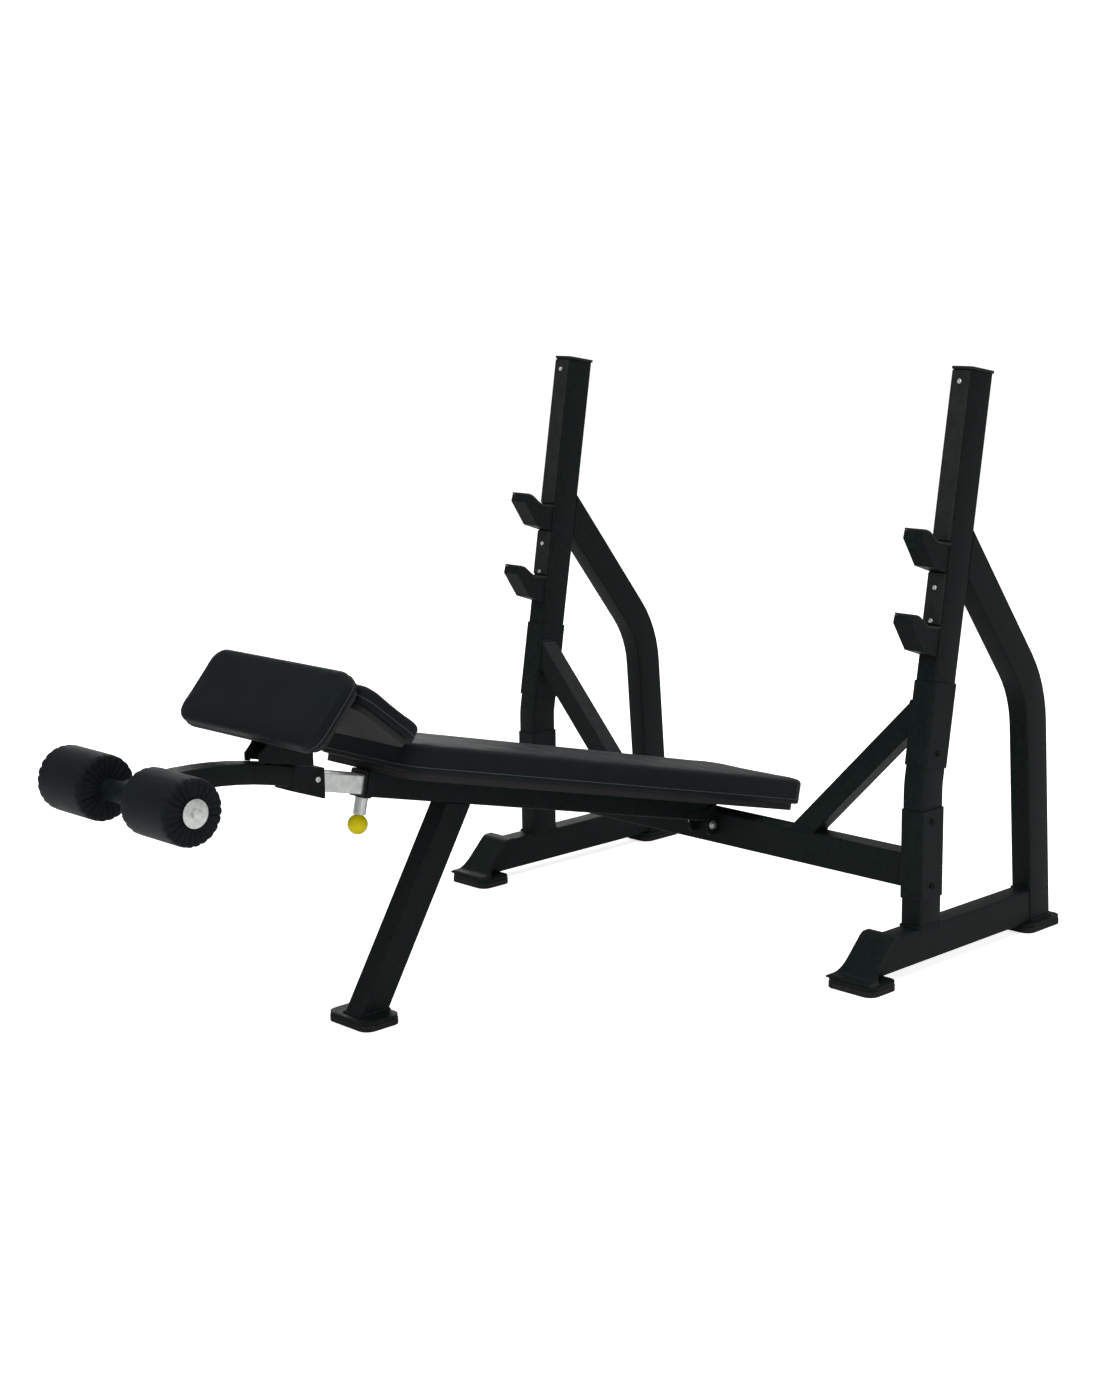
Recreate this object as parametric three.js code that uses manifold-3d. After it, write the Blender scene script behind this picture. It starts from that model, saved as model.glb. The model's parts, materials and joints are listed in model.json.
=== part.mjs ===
import * as THREE from 'three'
import { mergeVertices } from 'three/addons/utils/BufferGeometryUtils.js'
import Module from 'manifold-3d'

// Olympic decline bench with a bar rack. Millimetres, +Z up, the floor is z = 0.
// X runs across, the rollers are at -Y and the uprights at +Y. All of it is symmetric about X = 0.

const wasm = await Module()
wasm.setup()

// ---------- driving dimensions ----------

const gap = 0.3
const degree = Math.PI / 180

const box = { wide: 50, deep: 75, wall: 3, round: 4 }         // tube of the side frames
const foot = { rubber: 12, plate: 20, round: 22 }             // top of the rubber, top of the plate
const rack = { outer: 620, rearBrace: 38 * degree, rearPost: 4.2 * degree }
const side = rack.outer - box.wide / 2                        // middle of a side frame
const rail = { bottom: foot.plate + gap, frontCut: -203.3 }
rail.top = rail.bottom + box.deep

const upright = { middle: box.deep / 2, kink: 400, lean: 9.6 * degree, length: 874 }
const capSize = { wide: 55, deep: 83, top: 6, round: 7 }       // it overhangs the tube all round
const brace = { wide: 50, tall: 75 }                          // tube of the cross beam
const strut = { size: 50, turn: 44.2 * degree, back: 2.7 * degree, foot: 245.3 }
const beam = { front: 12.5, bottom: 176 }
beam.top = beam.bottom + brace.tall
beam.middle = beam.front + brace.wide / 2

const sleeve = { wall: 3, lowBottom: 157, lowTop: 351, highStart: 41, highEnd: 221 }
const hook = { pitch: 176, top: 535, reach: 99, lip: 9, slope: 52, deep: 21, liner: 4.5 }

const decline = 13.3 * degree
const spine = { wide: 50, tall: 52, wall: 3, start: 229, front: -1042, rear: 3 }
const leg = { wide: 50, deep: 65, lean: 31.4 * degree, y: -1008 }
const slide = { size: 40, wall: 3, low: 3.5, tail: -640, head: -1218 }
const pin = { y: -1030, housing: 13, shaft: 5, ball: 20.5, tip: 3.0, low: -41 }
const pad = { wide: 300, front: -1052, head: 177, board: 15, foam: 58, round: 42 }
const roller = { y: -1541.7, z: 563.8, inner: 65.5, long: 145.5, radius: 61.5, axle: 12.5 }
const knee = { ridgeY: -1185, ridgeZ: 769, wide: 426, front: 48 * degree, rear: 38.4 * degree }
const kneePad = { frontLong: 168, rearLong: 226, board: 12, foam: 37, round: 36 }

// ---------- materials ----------

const paint = (color, roughness, metalness = 0) =>
  new THREE.MeshStandardMaterial({ color, roughness, metalness })
const powder = paint(0x15191a, 0.45, 0.3)
const rubber = paint(0x0c0c0c, 0.85)
const plastic = paint(0x101112, 0.55)
const vinyl = paint(0x161c22, 0.5)
const plywood = paint(0x2a221a, 0.8)
const zinc = paint(0xb9bdbb, 0.3, 0.9)
const yellow = paint(0xc9a800, 0.35)

// ---------- shapes ----------

// rounded rectangle with its middle at (x, y)
function rounded(wide, tall, radius, x = 0, y = 0, Kind = THREE.Shape) {
  const shape = new Kind()
  const [w, t] = [wide / 2 - radius, tall / 2 - radius]
  shape.absarc(x + w, y + t, radius, 0, 90 * degree)
  shape.absarc(x - w, y + t, radius, 90 * degree, 180 * degree)
  shape.absarc(x - w, y - t, radius, 180 * degree, 270 * degree)
  shape.absarc(x + w, y - t, radius, 270 * degree, 360 * degree)
  shape.closePath()
  return shape
}

// section of a hollow tube
function tubeSection(wide, tall, wall, radius) {
  const shape = rounded(wide, tall, radius)
  const hole = rounded(wide - 2 * wall, tall - 2 * wall, radius - wall, 0, 0, THREE.Path)
  shape.holes.push(hole)
  return shape
}

function polygon(points) {
  return new THREE.Shape(points.map(([x, y]) => new THREE.Vector2(x, y)))
}

// the shape is drawn in X and Z, and is extruded from y0 to y1
function alongY(shape, y0, y1, curveSegments = 2) {
  const solid = new THREE.ExtrudeGeometry(shape, { depth: y1 - y0, bevelEnabled: false, curveSegments })
  solid.rotateX(90 * degree)
  solid.translate(0, y1, 0)
  return solid
}

// the shape is drawn in X and Y, and is extruded from z0 to z1
function alongZ(shape, z0, z1, curveSegments = 5) {
  const solid = new THREE.ExtrudeGeometry(shape, { depth: z1 - z0, bevelEnabled: false, curveSegments })
  solid.translate(0, 0, z0)
  return solid
}

// the shape is drawn in Y and Z, and is extruded from x0 to x1
function alongX(shape, x0, x1, curveSegments = 5) {
  const solid = new THREE.ExtrudeGeometry(shape, { depth: x1 - x0, bevelEnabled: false, curveSegments })
  solid.applyMatrix4(new THREE.Matrix4().set(0, 0, 1, x0, 1, 0, 0, 0, 0, 1, 0, 0, 0, 0, 0, 1))
  return solid
}

// a tube's path in the Y-Z plane: straight stretches with an arc of the given radius at each corner
class Bend extends THREE.Curve {
  constructor(corners, radius, arcSteps = 6) {
    super()
    this.stations = []
    const points = corners.map(([y, z]) => new THREE.Vector2(y, z))
    const last = points.length - 1
    points.forEach((point, i) => {
      const back = i > 0 ? points[i - 1].clone().sub(point).normalize() : null
      const on = i < last ? points[i + 1].clone().sub(point).normalize() : null
      if (!back) return this.stations.push([point, on])
      if (!on) return this.stations.push([point, back.negate()])
      const turn = Math.PI - Math.acos(THREE.MathUtils.clamp(back.dot(on), -1, 1))
      const inward = back.clone().add(on).normalize()
      const centre = point.clone().addScaledVector(inward, radius / Math.cos(turn / 2))
      const ahead = back.clone().negate()
      const sign = Math.sign(ahead.cross(on))
      const start = point.clone().addScaledVector(back, radius * Math.tan(turn / 2)).sub(centre)
      for (let k = 0; k <= arcSteps; k++) {
        const angle = sign * turn * k / arcSteps
        const spot = start.clone().rotateAround(new THREE.Vector2(), angle).add(centre)
        this.stations.push([spot, ahead.clone().rotateAround(new THREE.Vector2(), angle)])
      }
    })
    this.steps = this.stations.length - 1
  }
  getSpacedPoints() {
    return this.stations.map(([spot]) => new THREE.Vector3(0, spot.x, spot.y))
  }
  computeFrenetFrames() {
    const tangents = this.stations.map(([, way]) => new THREE.Vector3(0, way.x, way.y))
    const normals = tangents.map(() => new THREE.Vector3(-1, 0, 0))
    const binormals = tangents.map((tangent, i) => tangent.clone().cross(normals[i]))
    return { tangents, normals, binormals }
  }
}

function sweep(section, path, curveSegments = 2) {
  return new THREE.ExtrudeGeometry(section, { extrudePath: path, steps: path.steps, curveSegments })
}

// round bar or ring about the X axis, from x0 to x1
function barX(radius, x0, x1, y, z, segments = 28) {
  const bar = new THREE.CylinderGeometry(radius, radius, x1 - x0, segments)
  bar.rotateZ(90 * degree)
  bar.translate((x0 + x1) / 2, y, z)
  return bar
}

function block(x0, x1, y0, y1, z0, z1) {
  const solid = new THREE.BoxGeometry(x1 - x0, y1 - y0, z1 - z0)
  solid.translate((x0 + x1) / 2, (y0 + y1) / 2, (z0 + z1) / 2)
  return solid
}

// everything on the far side of a line in the Y-Z plane: the line starts at (y, z) and runs the
// way (wayY, wayZ), and the half space lies on its right
function beyond(y, z, wayY, wayZ, reach = 3000) {
  const size = Math.hypot(wayY, wayZ)
  const [a, b] = [wayY / size * reach, wayZ / size * reach]
  return alongX(polygon([[y - a, z - b], [y + a, z + b], [y + a + b, z + b - a], [y - a + b, z - b - a]]),
    -1500, 1500)
}

// ---------- joining and cutting ----------

function toSolid(geometry) {
  const bare = geometry.index ? geometry.toNonIndexed() : geometry.clone()
  bare.deleteAttribute('normal')
  bare.deleteAttribute('uv')
  const merged = mergeVertices(bare, 1e-4)
  const vertProperties = new Float32Array(merged.attributes.position.array)
  const triVerts = new Uint32Array(merged.index.array)
  return new wasm.Manifold(new wasm.Mesh({ numProp: 3, vertProperties, triVerts }))
}

function toGeometry(solid) {
  const mesh = solid.getMesh()
  const geometry = new THREE.BufferGeometry()
  geometry.setAttribute('position', new THREE.BufferAttribute(mesh.vertProperties, 3))
  geometry.setIndex(new THREE.BufferAttribute(mesh.triVerts, 1))
  geometry.computeVertexNormals()
  return geometry
}

function join(...geometries) {
  return toGeometry(geometries.map(toSolid).reduce((a, b) => a.add(b)))
}

function cut(geometry, ...tools) {
  return toGeometry(tools.map(toSolid).reduce((a, b) => a.subtract(b), toSolid(geometry)))
}

function common(a, b) {
  return toGeometry(toSolid(a).intersect(toSolid(b)))
}

function moved(geometry, x, y, z) {
  return geometry.clone().translate(x, y, z)
}

// ---------- the assembly ----------

const bench = new THREE.Group()

function add(name, geometry, material, parent = bench) {
  const mesh = new THREE.Mesh(geometry, material)
  mesh.name = name
  parent.add(mesh)
  return mesh
}

// one part of a side frame, drawn about X = 0, placed on the left at -X and on the right at +X
function addPair(name, geometry, material) {
  for (const [word, sign] of [['left', -1], ['right', 1]]) {
    add(`${word}_${name}`, geometry.clone(), material).position.x = sign * side
  }
}

// ---------- side frames ----------

const frameTube = tubeSection(box.wide, box.deep, box.wall, box.round)
const lean = { y: Math.sin(upright.lean), z: Math.cos(upright.lean) }

// a point of the leaning stretch: s along it from the kink, t forward of its front face
function onUpright(s, t) {
  const n = t + box.deep / 2
  return [upright.middle + lean.y * s - lean.z * n, upright.kink + lean.z * s + lean.y * n]
}

const uprightTop = onUpright(upright.length, -box.deep / 2)
const uprightPath = new Bend(
  [[upright.middle, rail.top + gap], [upright.middle, upright.kink], uprightTop], 180, 3)
addPair('upright', sweep(frameTube, uprightPath), powder)

// the cap is a plate with a plug that goes into the tube
const capPlate = rounded(capSize.wide, capSize.deep, capSize.round)
const capPlug = rounded(box.wide - 2 * box.wall - 1, box.deep - 2 * box.wall - 1, 3)
const cap = join(alongZ(capPlate, gap, capSize.top, 2), alongZ(capPlug, -15, gap + 1, 2))
cap.rotateX(-upright.lean)
cap.translate(0, ...uprightTop)
addPair('upright_cap', cap, plastic)

// rear brace: a post that leans forward, bent over to the back of the upright
const postWay = [-Math.sin(rack.rearPost), Math.cos(rack.rearPost)]
const braceWay = [-Math.sin(rack.rearBrace), Math.cos(rack.rearBrace)]
const bendCorner = [414.3, 554]
const postFoot = (bendCorner[1] - foot.plate - gap) / postWay[1]
const postStart = bendCorner.map((v, i) => v - postWay[i] * (postFoot + 20))
const braceEnd = bendCorner.map((v, i) => v + braceWay[i] * 520)
const uprightBack = onUpright(0, -box.deep - gap)
const rearBrace = cut(
  sweep(frameTube, new Bend([postStart, bendCorner, braceEnd], 260, 6)),
  beyond(...uprightBack, -lean.y, -lean.z),
  block(-100, 100, 300, 700, -100, foot.plate + gap))
addPair('rear_brace', rearBrace, powder)

// feet
const footSize = { front: [124, -209, -118], rear: [80, 388, 519], leg: [128, -1062, -969] }

function addFoot(place, name, adder) {
  const [wide, y0, y1] = footSize[place]
  const outline = rounded(wide, y1 - y0, foot.round, 0, (y0 + y1) / 2)
  adder(`${name}foot_plate`, alongZ(outline, foot.rubber + gap, foot.plate), powder)
  const sole = rounded(wide + 2, y1 - y0 + 2, foot.round + 1, 0, (y0 + y1) / 2)
  adder(`${name}foot_pad`, alongZ(sole, 0, foot.rubber), rubber)
}
addFoot('front', 'front_', addPair)
addFoot('rear', 'rear_', addPair)
addFoot('leg', 'leg_', add)

// front foot bracket: a bent plate over the slanted end of the rail, flared down to the foot
const bracketPlate = { thick: 8, wide: 84, flare: 122, round: 20 }
const plateMiddle = bracketPlate.thick / 2
const slant = rail.frontCut - (plateMiddle + gap) * Math.SQRT2
const bracketTop = rail.top + gap + plateMiddle
const bracketLow = foot.plate + gap + plateMiddle
const bracketPath = new Bend([[-88, bracketTop], [slant + bracketTop, bracketTop],
  [slant + bracketLow, bracketLow], [-207, bracketLow]], bracketPlate.round, 5)
const bracketBand = sweep(rounded(bracketPlate.flare + 4, bracketPlate.thick, 0.5), bracketPath, 1)
const flare = new THREE.Shape()
const [half, wider] = [bracketPlate.wide / 2, bracketPlate.flare / 2]
flare.moveTo(-wider, 0)
flare.lineTo(wider, 0)
flare.lineTo(wider, 24)
flare.quadraticCurveTo(half + 1, 30, half, 56)
flare.lineTo(half, 130)
flare.lineTo(-half, 130)
flare.lineTo(-half, 56)
flare.quadraticCurveTo(-half - 1, 30, -wider, 24)
addPair('front_foot_bracket', common(bracketBand, alongY(flare, -260, 0, 6)), powder)

// rail: slanted at the front, cut to the post at the rear
const postFace = bendCorner.map((v, i) => v + [-1, -Math.tan(rack.rearPost)][i] * (box.deep / 2 + gap))
const railLong = alongY(frameTube, -260, 520)
railLong.translate(0, 0, rail.bottom + box.deep / 2)
const baseRail = cut(railLong,
  beyond(rail.frontCut, 0, -1, -1),
  beyond(...postFace, ...postWay),
  sweep(rounded(bracketPlate.flare, bracketPlate.thick + 2 * gap, 0.1), bracketPath, 1))
addPair('base_rail', baseRail, powder)

// sleeves: box wraps round the upright
const sleeveSection = tubeSection(box.wide + 2 * (sleeve.wall + gap), box.deep + 2 * (sleeve.wall + gap),
  sleeve.wall, box.round + sleeve.wall)
const lowerSleeve = alongZ(sleeveSection, sleeve.lowBottom, sleeve.lowTop, 2)
lowerSleeve.translate(0, upright.middle, 0)
addPair('lower_sleeve', lowerSleeve, powder)
const upperSleeve = alongZ(sleeveSection, sleeve.highStart, sleeve.highEnd, 2)
upperSleeve.rotateX(-upright.lean)
upperSleeve.translate(0, upright.middle, upright.kink)
addPair('upper_sleeve', upperSleeve, powder)

// bar catches: hooks on the front face of the leaning stretch, drawn as (t forward, s up from the lip)
const underHook = [[0.4, -84], [hook.reach - 48, -76], [hook.reach + 2, -22]]
const seat = [[hook.reach, 0]]
for (let k = 0; k <= 8; k++) {
  const t = (hook.reach - hook.lip) * (1 - k / 8) + 0.4
  const fall = Math.min((hook.reach - hook.lip - t) / hook.slope, 1)
  seat.push([t, -hook.deep / 2 * (1 - Math.cos(fall * Math.PI))])
}

function onHook(points, lip) {
  return polygon(points.map(([t, s]) => onUpright(lip + s, t)))
}

for (const [word, lip] of [['upper', hook.top], ['lower', hook.top - hook.pitch]]) {
  const body = [...underHook, ...seat.map(([t, s]) => [t, s - hook.liner - gap])]
  addPair(`${word}_bar_catch`, alongX(onHook(body, lip), -box.wide / 2, box.wide / 2), powder)
  const liner = [...seat, ...seat.map(([t, s]) => [t, s - hook.liner]).reverse()]
  addPair(`${word}_catch_liner`, alongX(onHook(liner, lip), -box.wide / 2, box.wide / 2), plastic)
}

// guard strips on the front face
function addStrip(name, s0, s1) {
  const strip = alongZ(rounded(box.wide - 5, 4, 1.2), s0, s1, 2)
  strip.translate(0, -box.deep / 2 - 2 - gap, 0)
  strip.rotateX(-upright.lean)
  strip.translate(0, upright.middle, upright.kink)
  addPair(name, strip, plastic)
}
addStrip('upper_guard_strip', hook.top - 17, upright.length - 3)
addStrip('lower_guard_strip', hook.top - hook.pitch - 17, hook.top - 86)

// ---------- cross beam and diagonal braces ----------

const crossTube = tubeSection(brace.tall, brace.wide, box.wall, box.round)
const inner = side - box.wide / 2 - sleeve.wall - 2 * gap
const beamTube = alongZ(crossTube, -inner, inner, 2)
beamTube.rotateY(90 * degree)
beamTube.translate(0, beam.middle, (beam.bottom + beam.top) / 2)
add('cross_beam', beamTube, powder)

// a diagonal brace is placed by its upper front edge
const strutTube = alongZ(tubeSection(strut.size, strut.size, box.wall, box.round), -80, 560, 2)
strutTube.translate(strut.size / 2, strut.size / 2, 0)
strutTube.rotateY(strut.turn)
strutTube.rotateX(-strut.back)
strutTube.translate(strut.foot, beam.front, beam.top)
const rightStrut = cut(strutTube,
  block(0, 900, -200, 300, 0, beam.top + gap),
  block(inner, inner + 400, -200, 300, 0, 1200))
const leftStrut = toGeometry(toSolid(rightStrut).mirror([1, 0, 0]))
add('right_diagonal_brace', rightStrut, powder)
add('left_diagonal_brace', leftStrut, powder)

// ---------- spine, in a group that slopes with the bench ----------

const slope = new THREE.Group()
slope.position.z = spine.start
slope.rotation.x = -decline
bench.add(slope)
const down = { y: Math.cos(decline), z: -Math.sin(decline) }

// cutting tool drawn in the level frame, for a part that is drawn in the sloping frame
function levelTool(geometry) {
  const tool = geometry.clone()
  tool.translate(0, 0, -spine.start)
  tool.rotateX(decline)
  return tool
}

// and the other way: drawn in the sloping frame, for a part that is drawn in the level one
function slopeTool(geometry) {
  const tool = geometry.clone()
  tool.rotateX(-decline)
  tool.translate(0, 0, spine.start)
  return tool
}

const spineTube = alongY(tubeSection(spine.wide, spine.tall, spine.wall, box.round), spine.front, 120)
spineTube.translate(0, 0, spine.tall / 2)
const collarThick = 3
const collar = alongY(rounded(spine.wide + 2 * collarThick, spine.tall + 2 * collarThick, box.round + 2),
  spine.front, spine.front + 14)
collar.translate(0, 0, spine.tall / 2)
const mouth = alongY(rounded(spine.wide - 2, spine.tall - 2, box.round), spine.front - 5, spine.front + 20)
mouth.translate(0, 0, spine.tall / 2)
const collarTop = block(-60, 60, spine.front - 5, spine.front + 20, spine.tall, spine.tall + 20)
const pinHole = new THREE.CylinderGeometry(pin.shaft + 1, pin.shaft + 1, 30, 24)
pinHole.rotateX(90 * degree)
pinHole.translate(0, pin.y, -4)
add('spine_tube', cut(join(spineTube, cut(collar, mouth)), pinHole, collarTop,
  levelTool(block(-200, 200, spine.rear, 400, 0, 600))), powder, slope)

// the bushing fills the room between the spine and the slide, with a lip outside
const slideMiddle = slide.low + slide.size / 2
const bore = alongY(rounded(slide.size + 2 * gap, slide.size + 2 * gap, 4, 0, slideMiddle),
  spine.front - 20, spine.front + 100)
const bushingBody = alongY(rounded(spine.wide - 2 * spine.wall - 2 * gap, spine.tall - 2 * spine.wall - 2 * gap,
  3 - gap, 0, spine.tall / 2), spine.front - 4, spine.front + 70)
const bushingLip = alongY(rounded(spine.wide, spine.tall, box.round, 0, spine.tall / 2),
  spine.front - 4, spine.front - gap)
add('spine_bushing', cut(join(bushingBody, bushingLip), bore,
  block(-pin.shaft - 2, pin.shaft + 2, pin.y - pin.shaft - 2, pin.y + pin.shaft + 2, -1, 15)), plastic, slope)

// rear bracket: a plate on the beam, bent forward into an ear on each side of the spine
const ear = { thick: 5, front: -17, low: 199, high: 274 }
const earIn = spine.wide / 2 + gap
const earOut = earIn + ear.thick
const earOutline = polygon([[ear.front, ear.low + 8], [ear.front + 8, ear.low], [beam.front - gap, ear.low],
  [beam.front - gap, ear.high], [ear.front, ear.high - 12]])
const plateFront = beam.front - gap - 7
const rearBracket = join(
  alongX(earOutline, earIn, earOut),
  alongX(earOutline, -earOut, -earIn),
  block(-earOut + 1, earOut - 1, plateFront, beam.front - gap, ear.low, spine.start - 6))
add('spine_rear_bracket', rearBracket, powder)

// front leg, square to the floor at its foot and to the spine at its top
const legWay = [Math.sin(leg.lean), Math.cos(leg.lean)]
const legFoot = [leg.y - legWay[0] * 60, foot.plate - legWay[1] * 60]
const legTop = [leg.y + legWay[0] * 620, foot.plate + legWay[1] * 620]
const legTube = sweep(tubeSection(leg.wide, leg.deep, 3, box.round), new Bend([legFoot, legTop], 0))
add('front_leg', cut(legTube,
  block(-200, 200, -1400, -600, -200, foot.plate + gap),
  beyond(0, spine.start - gap / down.y, -down.y, -down.z)), powder)

// back pad
const padMiddle = (pad.front + pad.head) / 2
const padLong = pad.head - pad.front
const boardOutline = rounded(pad.wide - 24, padLong - 36, pad.round - 12, 0, padMiddle)
add('back_pad_board', alongZ(boardOutline, spine.tall + gap, spine.tall + gap + pad.board), plywood, slope)

// a cushion with rounded upper and lower edges
function cushion(wide, long, thick, corner, edge, y, z) {
  const outline = rounded(wide - 2 * edge, long - 2 * edge, corner - edge, 0, y)
  const solid = new THREE.ExtrudeGeometry(outline, { depth: thick - 2 * edge, bevelThickness: edge,
    bevelSize: edge, bevelSegments: 2, curveSegments: 4 })
  solid.translate(0, 0, z + edge)
  return solid
}
add('back_pad_cushion', cushion(pad.wide, padLong, pad.foam, pad.round, 12, padMiddle,
  spine.tall + pad.board + 2 * gap), vinyl, slope)

// ---------- leg hold-down ----------

const slideTube = alongY(tubeSection(slide.size, slide.size, slide.wall, 4), slide.head, slide.tail)
slideTube.translate(0, 0, slideMiddle)
const stops = [0, 1, 2, 3].map((k) => moved(pinHole, 0, k * 50, 0))
add('slide_tube', cut(slideTube, ...stops), zinc, slope)

// arm bracket: a block with a socket for the end of the slide tube
const holder = { rear: -1142, front: -1228, top: 51.5, low: -8.4, half: 26 }
const holderOutline = polygon([[holder.front, 1], [holder.front, holder.top - 1],
  [holder.rear - 14, holder.top], [holder.rear, holder.low], [holder.rear - 6, holder.low]])
const socket = alongY(rounded(slide.size + 2 * gap, slide.size + 2 * gap, 4 + gap, 0, slideMiddle),
  slide.head - gap, holder.rear + 30)
add('arm_bracket', cut(alongX(holderOutline, -holder.half, holder.half), socket), powder, slope)

// roller arm: a flat arc with a cross tube at its end
const arc = { y: -1424.3, z: -302 }
arc.radius = Math.hypot(roller.y - arc.y, roller.z - arc.z)
const armCurve = new Bend([[0, 0], [0, 1]], 0)
const [armFrom, armTo] = [-1160, roller.y]
armCurve.stations = []
for (let k = 0; k <= 10; k++) {
  const y = armFrom + (armTo - armFrom) * k / 10
  const tilt = Math.asin((y - arc.y) / arc.radius)
  const spot = new THREE.Vector2(y, arc.z + arc.radius * Math.cos(tilt))
  armCurve.stations.push([spot, new THREE.Vector2(-Math.cos(tilt), Math.sin(tilt))])
}
armCurve.steps = armCurve.stations.length - 1
const armTube = sweep(tubeSection(50, 40, box.wall, box.round), armCurve)
const crossHalf = roller.inner - 6
const arm = cut(join(armTube, barX(20, -crossHalf, crossHalf, roller.y, roller.z, 32)),
  barX(roller.axle + gap, -200, 200, roller.y, roller.z),
  slopeTool(block(-200, 200, holder.front - gap, holder.front + 400, -200, 300)))
add('roller_arm', arm, powder)

const rollerOuter = roller.inner + roller.long
add('roller_axle', barX(roller.axle, -rollerOuter - 1, rollerOuter + 1, roller.y, roller.z), zinc)

// rollers: foam sleeves in a cover, gathered at the ends
function rollerProfile() {
  const [x0, x1, r] = [roller.inner, rollerOuter, roller.radius]
  const hole = roller.axle + gap
  const points = [new THREE.Vector2(hole, x0 + 3)]
  points.push(new THREE.Vector2(34, x0 + 1))
  for (let k = 0; k <= 3; k++) {
    const turn = k / 3 * 90 * degree
    points.push(new THREE.Vector2(r - 16 + 16 * Math.sin(turn), x0 + 16 - 16 * Math.cos(turn)))
  }
  for (let k = 3; k >= 0; k--) {
    const turn = k / 3 * 90 * degree
    points.push(new THREE.Vector2(r - 16 + 16 * Math.sin(turn), x1 - 16 + 16 * Math.cos(turn)))
  }
  points.push(new THREE.Vector2(34, x1 - 1))
  points.push(new THREE.Vector2(hole, x1 - 3))
  points.push(points[0].clone())
  return points
}

for (const [word, sign] of [['left', -1], ['right', 1]]) {
  const foam = new THREE.LatheGeometry(rollerProfile(), 28)
  foam.rotateZ(-sign * 90 * degree)
  foam.translate(0, roller.y, roller.z)
  add(`${word}_roller`, foam, vinyl)
}

// knee pads: two cushions on boards that lean together, in groups of their own
const frontGroup = new THREE.Group()
frontGroup.position.set(0, knee.ridgeY, knee.ridgeZ)
frontGroup.rotation.x = knee.front
bench.add(frontGroup)
const rearGroup = new THREE.Group()
rearGroup.position.set(0, knee.ridgeY, knee.ridgeZ)
rearGroup.rotation.x = -knee.rear
bench.add(rearGroup)

const kneeThick = kneePad.board + kneePad.foam + gap
const frontPadY = -kneePad.frontLong / 2
add('front_knee_pad', cushion(knee.wide, kneePad.frontLong, kneePad.foam, kneePad.round, 8, frontPadY, -kneePad.foam),
  vinyl, frontGroup)
add('front_knee_board', alongZ(rounded(knee.wide - 24, kneePad.frontLong - 24, 26, 0, frontPadY),
  -kneeThick, -kneePad.foam - gap), plywood, frontGroup)
const rearFrom = kneeThick + 1.5
const rearPadY = (rearFrom + kneePad.rearLong) / 2
const rearPadLong = kneePad.rearLong - rearFrom
add('rear_knee_pad', cushion(knee.wide, rearPadLong, kneePad.foam, kneePad.round, 8, rearPadY, -kneePad.foam),
  vinyl, rearGroup)
add('rear_knee_board', alongZ(rounded(knee.wide - 24, rearPadLong - 24, 26, 0, rearPadY),
  -kneeThick, -kneePad.foam - gap), plywood, rearGroup)

// knee pad frame: two cheeks on the arm, with a flange under each board
const frame = { thick: 5, half: 25, flange: 70 }
const kneeTool = (group, geometry) => {
  group.updateMatrix()
  return geometry.clone().applyMatrix4(group.matrix)
}
const under = -kneeThick - gap
const frontFlange = kneeTool(frontGroup, block(-frame.flange, frame.flange, -kneePad.frontLong + 50, -56,
  under - frame.thick, under))
const rearFlange = kneeTool(rearGroup, block(-frame.half - 15, frame.half + 15, 68, 150,
  under - frame.thick, under))
const cheekPoints = [[-1264, 560], [-1264, 592], [-1250, 606], [-1178, 713], [-1092, 643], [-1138, 596],
  [-1138, 520]]
const kneeCheek = alongX(polygon(cheekPoints), -frame.half, frame.half)
const hollow = alongX(polygon(cheekPoints), -frame.half + frame.thick, frame.half - frame.thick)
const clearBracket = slopeTool(block(-60, 60, -1300, -1000, -200, holder.top + gap))
const clearArm = sweep(rounded(120, 40 + 2 * gap, 1), armCurve)
const aboveBoards = [kneeTool(frontGroup, block(-400, 400, -300, 300, under, 300)),
  kneeTool(rearGroup, block(-400, 400, -300, 300, under, 300))]
add('knee_pad_frame', cut(join(cut(kneeCheek, hollow), frontFlange, rearFlange),
  clearBracket, clearArm, ...aboveBoards), powder)

// ---------- pop pin ----------

function barZ(radius, z0, z1, segments = 28) {
  const bar = new THREE.CylinderGeometry(radius, radius, z1 - z0, segments)
  bar.rotateX(90 * degree)
  bar.translate(0, pin.y, (z0 + z1) / 2)
  return bar
}
const housingTop = -collarThick - gap
const springRoom = { radius: 10, top: -8, low: -34 }
add('pin_housing', cut(barZ(pin.housing, pin.low + 3, housingTop),
  barZ(springRoom.radius, springRoom.low, springRoom.top), barZ(pin.shaft + 0.5, pin.low, 20)), zinc, slope)

const flangeZ = -14
const plunger = join(barZ(pin.shaft, pin.low - 14, pin.tip), barZ(8.5, flangeZ - 3, flangeZ))
add('pin_plunger', plunger, zinc, slope)

const ball = new THREE.SphereGeometry(pin.ball, 20, 12)
ball.rotateX(90 * degree)
ball.translate(0, pin.y, -58)
add('pin_knob', cut(ball, barZ(pin.shaft + gap, pin.low - 14 - gap, 0)), yellow, slope)

// the part's origin is the middle of its footprint
bench.position.y = -(roller.y - roller.radius + footSize.rear[2] + 1) / 2

export default bench
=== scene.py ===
import json
import math

import bmesh
import bpy
from mathutils import Matrix, Vector
from mathutils.bvhtree import BVHTree

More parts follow.
